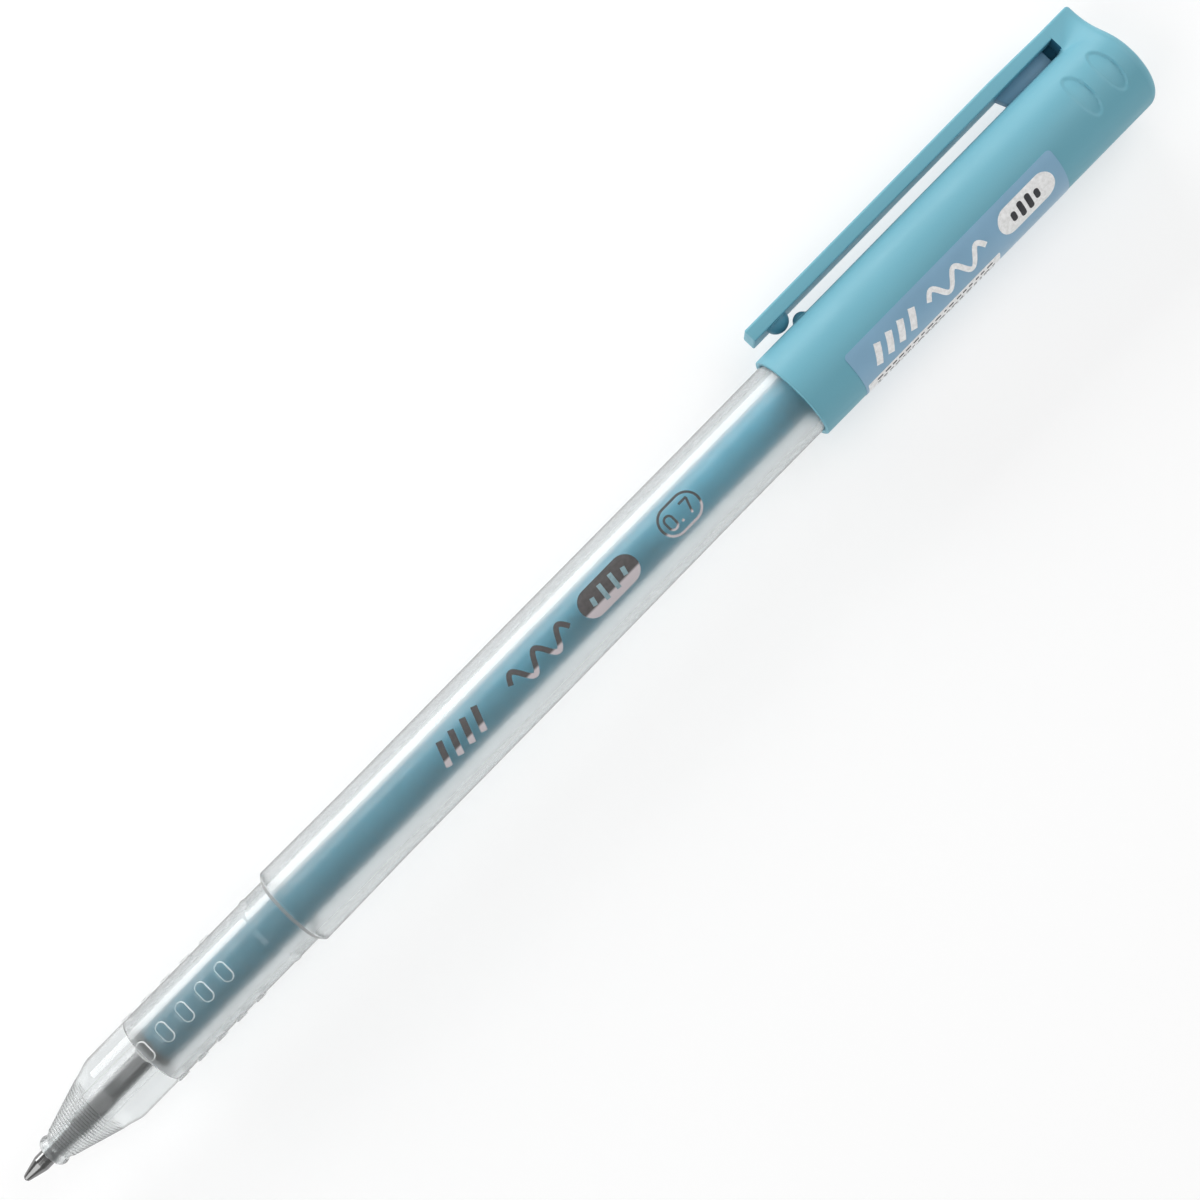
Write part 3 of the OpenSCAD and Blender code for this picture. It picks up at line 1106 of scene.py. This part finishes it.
def cap_distance(x, y, z, fillet):
    """How far a point is outside the cap's side wall, clip root and nub, blended where they meet."""
    wall = np.hypot(y, z) - CAP_R
    corner = 0.3
    side_y = np.abs(y - ROOT_Y / 2) - (ROOT_Y / 2 - corner)
    side_z = np.abs(z) - (CLIP_W / 2 - corner)
    block = np.hypot(np.maximum(side_y, 0), np.maximum(side_z, 0)) - corner
    block = block + np.minimum(np.maximum(side_y, side_z), 0)
    ahead = ROOT_X - x
    block = np.where(ahead > 0, np.hypot(np.maximum(block, 0), ahead), np.maximum(block, ahead))
    spread = 0.5 + (fillet - 0.5) * smoothstep(ROOT_X, END_X - 0.8, x)
    share = np.maximum(spread - np.abs(wall - block), 0) / spread
    both = np.minimum(wall, block) - share * share * spread / 4
    nub = np.sqrt((x - NUB[0]) ** 2 + (y - NUB[1]) ** 2 + z ** 2) - NUB[2]
    share = np.maximum(0.2 - np.abs(both - nub), 0) / 0.2
    return np.minimum(both, nub) - share * share * 0.05


def recess_shape(settings, x, angles):
    """Depth of the two oval finger recesses on each broad side, steepest at the edge nearer the end."""
    depth = np.zeros(len(angles))
    for side in (0, 180):
        across = ((angles - side + 180) % 360 - 180) * math.pi / 180 * CAP_R / (RECESS_SIZE[1] / 2)
        for centre in RECESS_X:
            along = (x - centre) / (RECESS_SIZE[0] / 2)
            inside = 1 - np.hypot(along, across)
            fall = 0.35 + 0.65 * np.clip((along + 1) / 2, 0, 1)
            depth += settings.recess_depth * fall * smoothstep(0.0, 0.16, inside)
    return depth


def cap_radius(settings, x, angles):
    """The cap's outer radius at x, all the way round, found by halving along each ray from the axis."""
    a = np.radians(angles)
    near_clip = np.exp(-((((angles - CLIP_ANGLE + 180) % 360) - 180) / 26) ** 2)
    end_round = settings.end_round * (1 - near_clip) + 0.35 * near_clip
    past_end = np.clip((x - END_X + end_round) / end_round, 0, 1)
    past_mouth = min(max((MOUTH_X + 0.15 - x) / 0.15, 0), 1)
    inset = end_round * (1 - np.sqrt(1 - past_end ** 2)) + 0.15 * (1 - math.sqrt(1 - past_mouth ** 2))
    low, high = np.full(len(a), 3.0), np.full(len(a), 10.0)
    for _ in range(24):
        middle = (low + high) / 2
        outside = cap_distance(x, middle * np.sin(a), middle * np.cos(a), settings.root_fillet) + inset > 0
        high = np.where(outside, middle, high)
        low = np.where(outside, low, middle)
    return (low + high) / 2 - recess_shape(settings, x, angles)


def cap_stations(settings):
    """Where the cap's rings of points lie."""
    turn = np.linspace(0, math.pi / 2, 8)
    places = list(MOUTH_X + 0.15 * (1 - np.cos(turn[::2])))
    places += list(np.arange(MOUTH_X + 1, RECESS_X[0] - 2, 3.0))
    places += list(NUB[0] + np.linspace(-1.3, 1.3, 27))
    places += list(np.linspace(RECESS_X[0] - 1.2, ROOT_X - 0.5, 28))
    places += list(np.arange(ROOT_X - 0.5, END_X - settings.end_round, 0.08))
    places += list(END_X - settings.end_round * (1 - np.sin(turn)))
    places += list(END_X - 0.35 * (1 - np.sin(turn)))
    places = np.unique(np.round(places, 4))
    return places[np.concatenate([[True], np.diff(places) > 0.012])]


def slab(outline, half, bevel):
    """A flat plate in the clip's mid-plane, from an (x, y) outline, with bevelled edges."""
    work = bmesh.new()
    face = work.faces.new([work.verts.new((x, y, -half)) for x, y in outline])
    made = bmesh.ops.extrude_face_region(work, geom=[face])
    tops = [v for v in made["geom"] if isinstance(v, bmesh.types.BMVert)]
    bmesh.ops.translate(work, verts=tops, vec=(0, 0, 2 * half))
    bmesh.ops.bevel(work, geom=work.edges, offset=bevel, segments=2, affect="EDGES", profile=0.5)
    work.verts.index_update()
    points = [tuple(v.co) for v in work.verts]
    faces = []
    for face in work.faces:
        corners = [v.index for v in face.verts]
        first = corners.index(min(corners))
        faces.append(tuple(corners[first:] + corners[:first]))
    work.free()
    # the bevel orders its faces differently from run to run, so they are put in one order
    return points, sorted(faces)


class PEN_OT_cap(bpy.types.Operator):
    """Build the cap: shell, clip root with its web, nub, finger recesses and inner sealing tube"""

    bl_idname = "gel_pen.cap"
    bl_label = "Cap"

    def execute(self, context):
        settings = context.scene.pen_cap
        angles = dense_angles(1.5, 0.5, [(CLIP_ANGLE, 42)])
        outer = [ring(x, cap_radius(settings, x, angles), angles) for x in cap_stations(settings)]
        last = outer[-1].copy()
        outer += [last * (1, share, share) for share in (0.85, 0.6, 0.3)]
        floor_x = END_X - END_WALL
        inside = rounded([
            (floor_x, 0),
            (floor_x, SEAL_BORE_R, 0.3),
            (floor_x - SEAL_LENGTH, SEAL_BORE_R, 0.2),
            (floor_x - SEAL_LENGTH, SEAL_OUTER_R, 0.2),
            (floor_x, SEAL_OUTER_R, 0.3),
            (floor_x, CAP_INNER_R, 0.4),
            (TAIL_X + 0.02, CAP_INNER_R, 0.05),
            (TAIL_X + 0.02, CAP_BORE_R, 0.1),
            (MOUTH_X, CAP_BORE_R, 0.12),
            (MOUTH_X, CAP_R),
        ], steps=3)[1:-1]
        inner = [ring(x, r, angles) for x, r in inside]
        shell = swept(inner + outer, start=(floor_x, 0, 0), end=(END_X, 0, 0))
        deep = CAP_R - 0.4
        web = slab([
            (FLEX_X + 0.2, deep), (FLEX_X + 0.2, CAP_R), (FLEX_X - 0.35, CLIP_UNDER_Y),
            (FLEX_X, CLIP_UNDER_Y + 0.3), (WEB_END_X, CLIP_UNDER_Y + 0.3), (WEB_END_X, deep),
        ], 0.6, 0.08)
        pocket = slab([
            (WEB_END_X - 0.5, deep), (WEB_END_X - 0.5, CLIP_UNDER_Y + 0.3),
            (ROOT_X + 0.5, CLIP_UNDER_Y + 0.3), (ROOT_X + 0.5, deep),
        ], 0.25, 0.05)
        red, green, blue = settings.colour
        # painted shade: a very dark, unglossed copy of the cap's plastic for the pocket by the clip's root,
        # on its thin sheet and on the root's front face
        shade = satin_plastic("painted_shade_pocket_plastic", (red * 0.15, green * 0.25, blue * 0.32), gloss=0.0)
        moulding = piece("cap_moulding", shell, satin_plastic("satin_cap_plastic", settings.colour),
                         "cap", ["cap_shell"], crease=40)
        moulding.data.materials.append(shade)
        moulding.data.materials.append(shaded_plastic("painted_shade_nub_plastic", settings))
        for face in moulding.data.polygons:
            at = (face.center - PEN_START) / MM
            # painted shade on the root's front face, inside the pocket
            if abs(at.x - ROOT_X) < 0.35 and face.normal.x < -0.3 and at.y > CAP_R:
                face.material_index = 1
            # painted shade on the nub's top, in the gap under the clip
            elif at.y > CAP_R + 0.04 and abs(at.x - NUB[0]) < NUB[2]:
                face.material_index = 2
        # painted shade: the web under the clip is a darker, slate-blue copy of the cap's plastic, for the
        # shade between the clip and the cap
        piece("cap_web", web, satin_plastic("painted_shade_web_plastic", (red * 0.72, green * 0.58, blue * 0.68)),
              "cap")
        piece("painted_shade_pocket_web", pocket, shade, "cap")
        return {"FINISHED"}


def clip_section(x, inset):
    """The clip's cross-section at x: a bar with bevelled outer corners, shrunk by inset."""
    drop = 0.2 * np.clip((x - FLEX_X) / (ROOT_X - FLEX_X), 0, 1)
    low, high = CLIP_UNDER_Y + inset, CLIP_HIGH.y - drop - inset
    half = CLIP_W / 2 - inset
    section = []
    for side_y, side_z, radius in ((1, 1, 0.32), (-1, 1, 0.14), (-1, -1, 0.14), (1, -1, 0.32)):
        radius = max(radius - inset * 0.5, 0.04)
        centre_y = (high - radius) if side_y > 0 else (low + radius)
        centre_z = side_z * (half - radius)
        start = {(1, 1): 0, (-1, 1): 90, (-1, -1): 180, (1, -1): 270}[side_y, side_z]
        for k in range(6):
            a = math.radians(start + 90 * k / 5)
            section.append((x, centre_y + radius * math.cos(a), centre_z + radius * math.sin(a)))
    return section


class PEN_OT_clip(bpy.types.Operator):
    """Build the pocket clip: a bevelled bar that runs into its root, with the bump under its free end"""

    bl_idname = "gel_pen.clip"
    bl_label = "Pocket clip"

    def execute(self, context):
        settings = context.scene.pen_cap
        end_round = 0.2
        sections = [
            clip_section(CLIP_LOW.x + end_round * (1 - math.sin(t)), end_round * (1 - math.cos(t)))
            for t in np.linspace(math.pi / 2, 0, 6)
        ]
        sections += [clip_section(x, 0) for x in np.arange(CLIP_LOW.x + 1, FLEX_X - 0.6, 0.9)]
        sections += [clip_section(x, 0) for x in np.linspace(FLEX_X - 0.4, FLEX_X + 0.4, 7)]
        sections += [clip_section(x, 0) for x in np.linspace(FLEX_X + 1.5, ROOT_X - 0.1, 7)]
        # inside the root the bar narrows slowly, so that it sinks into the root without an edge
        sections += [
            clip_section(x, 0.12 * smoothstep(ROOT_X, ROOT_X + 1.6, x))
            for x in np.linspace(ROOT_X, ROOT_X + 1.6, 8)
        ]
        points, faces = swept(sections)
        wide = len(sections[0])
        faces += [tuple(range(wide)), tuple(range(len(points) - 1, len(points) - wide - 1, -1))]
        dome = []
        for a in np.linspace(0, 84, 10):
            across = BUMP[2] * math.cos(math.radians(a))
            drop = BUMP[2] * math.sin(math.radians(a))
            dome.append([
                (BUMP[0] + across * math.cos(b), BUMP[1] - drop, across * math.sin(b))
                for b in np.linspace(0, 2 * math.pi, 40, endpoint=False)
            ])
        bump_shell = swept(dome, start=(BUMP[0], BUMP[1], 0), end=(BUMP[0], BUMP[1] - BUMP[2], 0))
        bar = piece("clip_moulding", joined((points, faces), bump_shell),
                    satin_plastic("satin_clip_plastic", settings.colour), None,
                    ["pocket_clip"], crease=50)
        bar.data.materials.append(shaded_plastic("painted_shade_bump_plastic", settings))
        # painted shade on the bump's underside, in the gap under the clip
        for face in bar.data.polygons:
            at = (face.center - PEN_START) / MM
            face.material_index = int(at.y < CLIP_UNDER_Y - 0.02 and abs(at.x - BUMP[0]) < BUMP[2])
        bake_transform(bar)
        return {"FINISHED"}


class PEN_OT_label(bpy.types.Operator):
    """Wrap the film label on the cap, with its pale printing and plain marks"""

    bl_idname = "gel_pen.label"
    bl_label = "Cap label"

    def execute(self, context):
        settings = context.scene.pen_label
        film_t, upper_edge, lower_edge = 0.05, -14.5, -129.5
        piece("label_film", wrapped_bar(LABEL_X0, LABEL_X1, upper_edge, lower_edge, CAP_R, film_t, 0.5),
              film("label_film", settings.film), "cap", ["cap_label"])
        base, middle, pill_half = CAP_R + film_t, -42.2, 17.0
        pale = [wrapped_bar(146.1, 154.2, middle - pill_half, middle + pill_half, base, INK_T, 1.65)]
        pale += [
            wrapped_stroke(path, 0.85, middle, base, INK_T)
            for path in slanted_bars(126.9, 133.8, 1.2, 4)
        ]
        pale.append(wrapped_stroke(wave(135.4, 144.0, 1.0, 2.5), 0.62, middle, base, INK_T))
        pale.append(wrapped_bar(124.9, 145.0, -108, -68, base, INK_T, 0.2))
        piece("label_pale_printing", joined(*pale), printed_ink("label_pale_ink", settings.ink, 0.4),
              "cap")
        dark = [
            wrapped_bar(147.9 + 1.15 * i, 148.6 + 1.15 * i, middle - rise, middle + rise,
                        base + INK_T, INK_T, 0.3)
            for i, rise in enumerate((6, 10, 10, 6))
        ]
        rng = np.random.default_rng(4)
        first_x, last_x, row_pitch = 126.2, 144.0, 9
        for row in range(3):
            x = first_x
            while x < last_x:
                length = float(rng.uniform(0.25, 0.9))
                dark.append(wrapped_bar(x, x + length, -76 - row_pitch * row, -73 - row_pitch * row,
                                        base + INK_T, INK_T, 0.1))
                x += length + float(rng.uniform(0.2, 0.5))
        piece("label_dark_marks", joined(*dark), printed_ink("label_dark_ink", (0.03, 0.03, 0.035)),
              "cap")
        return {"FINISHED"}


# ---------------------------------------------------------------- stage


FLOOR_HALF = 3.0
FLOOR_Z = -0.00005
CAMERA_FOOT_X = 80.3
CAMERA_TILT = math.radians(5.5)
CAMERA_LEAN = math.radians(45.55)
CAMERA_SHIFT = (0.0466, 0.0424)


class PEN_OT_stage(bpy.types.Operator):
    """Lay the pale floor, hang the soft lights and set the camera over the pen"""

    bl_idname = "gel_pen.stage"
    bl_label = "Stage"

    def execute(self, context):
        settings = context.scene.pen_stage
        scene = context.scene
        half = FLOOR_HALF
        mesh = bpy.data.meshes.new("floor")
        corners = [(-half, -half), (half, -half), (half, half), (-half, half)]
        mesh.from_pydata([(x, y, FLOOR_Z) for x, y in corners], [], [(0, 1, 2, 3)])
        mesh.materials.append(floor_paint("pale_floor", settings.floor, settings.glow))
        floor = bpy.data.objects.new("floor", mesh)
        scene.collection.objects.link(floor)
        floor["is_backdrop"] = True

        self.room(scene, settings)
        scene.view_settings.view_transform = "Standard"

        low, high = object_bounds()
        centre = (low + high) / 2
        self.softbox(scene, "key_softbox", centre, Vector((0, 0.95, 0.31)), 0.5, (0.6, 0.22), settings.key)
        for name, side in (("tip_softbox", -1), ("cap_softbox", 1)):
            self.softbox(scene, name, centre, Vector((side, 0, 0.8)), 0.6, (0.5, 0.5), settings.ends)

        # the camera stands over the axis, tilted a little away from the clip's side
        painted_reflection = PEN_START + Vector((CAMERA_FOOT_X, 0, 0)) * MM
        back = Vector((0, -math.sin(CAMERA_TILT), math.cos(CAMERA_TILT)))
        across = Vector((0, math.cos(CAMERA_TILT), math.sin(CAMERA_TILT)))
        along = Vector((1, 0, 0))
        right = along * math.cos(CAMERA_LEAN) - across * math.sin(CAMERA_LEAN)
        up = along * math.sin(CAMERA_LEAN) + across * math.cos(CAMERA_LEAN)
        camera = bpy.data.objects.new("camera", bpy.data.cameras.new("camera"))
        camera.data.lens = settings.lens
        camera.data.shift_x, camera.data.shift_y = CAMERA_SHIFT
        camera.data.clip_start = 0.01
        axes = Matrix((right, up, back)).transposed().to_4x4()
        camera.matrix_world = Matrix.Translation(painted_reflection + back * settings.distance * MM) @ axes
        scene.collection.objects.link(camera)
        scene.camera = camera
        return {"FINISHED"}

    def room(self, scene, settings):
        """Even light from all round, with a paler band low down, where the room meets the floor."""
        world = bpy.data.worlds.new("even_room")
        world.use_nodes = True
        tree = world.node_tree
        sky = tree.nodes["Background"]
        sky.inputs["Color"].default_value = (1, 1, 1, 1)
        where = tree.nodes.new("ShaderNodeTexCoord")
        place = tree.nodes.new("ShaderNodeSeparateXYZ")
        tree.links.new(where.outputs["Generated"], place.inputs["Vector"])
        tree.links.new(
            between(tree, place.outputs["Z"], settings.horizon, settings.sky, 0.05, 0.2),
            sky.inputs["Strength"])
        scene.world = world

    def softbox(self, scene, name, centre, direction, distance, size, power):
        """An area light that looks at the pen, its long side along the pen."""
        lamp = bpy.data.lights.new(name, "AREA")
        lamp.shape = "RECTANGLE"
        lamp.size, lamp.size_y = size
        lamp.energy = power
        holder = bpy.data.objects.new(name, lamp)
        back = direction.normalized()
        right = (Vector((1, 0, 0)) - back * back.x).normalized()
        axes = Matrix((right, back.cross(right), back)).transposed().to_4x4()
        holder.matrix_world = Matrix.Translation(centre + back * distance) @ axes
        scene.collection.objects.link(holder)


# ---------------------------------------------------------------- panel and registration

OPERATORS = (
    PEN_OT_stage,
    PEN_OT_barrel,
    PEN_OT_printing,
    PEN_OT_refill,
    PEN_OT_point,
    PEN_OT_plug,
    PEN_OT_cap,
    PEN_OT_clip,
    PEN_OT_label,
)


class PEN_PT_panel(bpy.types.Panel):
    """Lists the pen's pieces and their settings"""

    bl_idname = "PEN_PT_panel"
    bl_label = "Gel Pen"
    bl_space_type = "VIEW_3D"
    bl_region_type = "UI"
    bl_category = "Gel Pen"

    def draw(self, context):
        for operator in OPERATORS:
            self.layout.operator(operator.bl_idname)
        for name, group in SETTINGS.items():
            box = self.layout.box()
            for field in group.__annotations__:
                box.prop(getattr(context.scene, name), field)


def register():
    for cls in (*SETTINGS.values(), *OPERATORS, PEN_PT_panel):
        bpy.utils.register_class(cls)
    for name, group in SETTINGS.items():
        setattr(bpy.types.Scene, name, PointerProperty(type=group))


def unregister():
    for name in SETTINGS:
        delattr(bpy.types.Scene, name)
    for cls in reversed((*SETTINGS.values(), *OPERATORS, PEN_PT_panel)):
        bpy.utils.unregister_class(cls)


def main():
    register()
    for operator in OPERATORS:
        group, name = operator.bl_idname.split(".")
        getattr(getattr(bpy.ops, group), name)()


if __name__ == "__main__":
    main()
